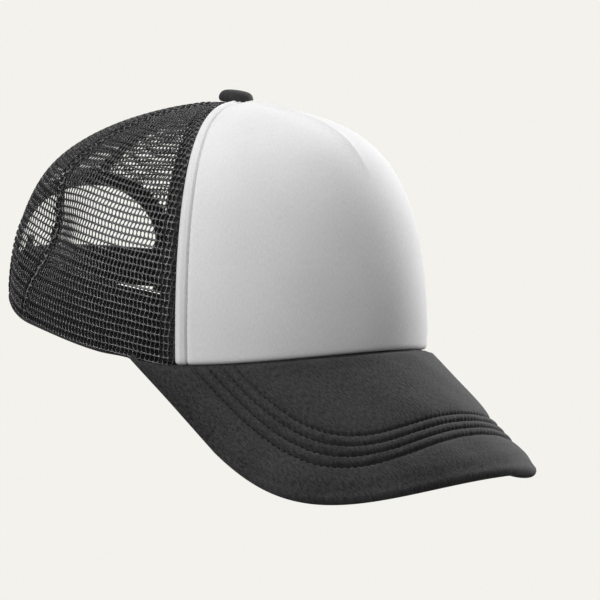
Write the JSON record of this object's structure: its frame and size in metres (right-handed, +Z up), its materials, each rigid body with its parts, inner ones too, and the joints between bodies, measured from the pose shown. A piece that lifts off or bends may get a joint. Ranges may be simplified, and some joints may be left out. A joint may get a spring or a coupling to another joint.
{
  "type": "trucker cap",
  "caption": "Foam-front mesh cap with an arched brim, fabric button, rear arch opening and a snap strap for fitting it to the head.",
  "frame": {"origin": "centre of the head opening, in the plane of the rim at the back", "axes": "+Z up through the crown, -Y forward along the brim, +X to the wearer's left"},
  "size_m": [0.1666, 0.259, 0.1499],
  "materials": {
    "white_knit": "fine brushed white knit, matt",
    "foam": "open-cell polyurethane foam, bonded behind the cloth",
    "band_foam": "thin black foam tape behind the sweatband",
    "black_mesh": "open polyester net, slight sheen",
    "black_tape": "woven black tape",
    "white_thread": "polyester sewing thread",
    "black_thread": "polyester sewing thread",
    "sweatband_cloth": "black brushed terry",
    "label_satin": "blank satin ribbon",
    "brim_cloth": "charcoal brushed knit",
    "board_plastic": "bent polyethylene sheet",
    "button_steel": "pressed steel",
    "strap_plastic": "moulded polyethylene, satin"
  },
  "bodies": {
    "crown": {"front_panel_cloth": "white_knit", "front_panel_foam": "foam", "side_mesh_right": "black_mesh", "side_mesh_left": "black_mesh", "back_mesh_right": "black_mesh", "back_mesh_left": "black_mesh", "front_seam_tape_right": "black_tape", "front_seam_tape_left": "black_tape", "side_seam_tape_right": "black_tape", "side_seam_tape_left": "black_tape", "centre_back_seam_tape": "black_tape", "dart_seam_tape": "black_tape", "front_topstitch_right": "white_thread", "front_topstitch_left": "white_thread", "strap_bar_tacks_right": "black_thread", "strap_bar_tacks_left": "black_thread", "arch_binding": "black_tape", "rim_binding": "black_tape", "sweatband_foam": "band_foam", "sweatband_cloth": "sweatband_cloth", "care_label": "label_satin", "brim_top_cover": "brim_cloth", "brim_under_cover": "brim_cloth", "brim_foam": "foam", "brim_board": "board_plastic", "brim_stitch_row_1": "black_thread", "brim_stitch_row_2": "black_thread", "brim_stitch_row_3": "black_thread", "brim_stitch_row_4": "black_thread", "button_cover": "brim_cloth", "button_cap": "button_steel", "button_rivet": "button_steel", "button_washer": "button_steel", "socket_strap_tab": "strap_plastic", "peg_strap_tab": "strap_plastic"},
    "socket_strap": {"socket_strap_tongue": "strap_plastic"},
    "peg_strap": {"peg_strap_tongue": "strap_plastic"}
  },
  "joints": [
    {"name": "socket_strap_flex", "type": "hinge", "parent": "crown", "child": "socket_strap", "pos_m": [0.0421, 0.08179, 0], "axis": [0, 0, -1], "range_deg": [0, 60], "stiffness_Nm_per_rad": 0.02},
    {"name": "peg_strap_flex", "type": "hinge", "parent": "crown", "child": "peg_strap", "pos_m": [-0.0421, 0.08179, 0], "axis": [0, 0, -1], "range_deg": [0, 35], "stiffness_Nm_per_rad": 0.02}
  ]
}
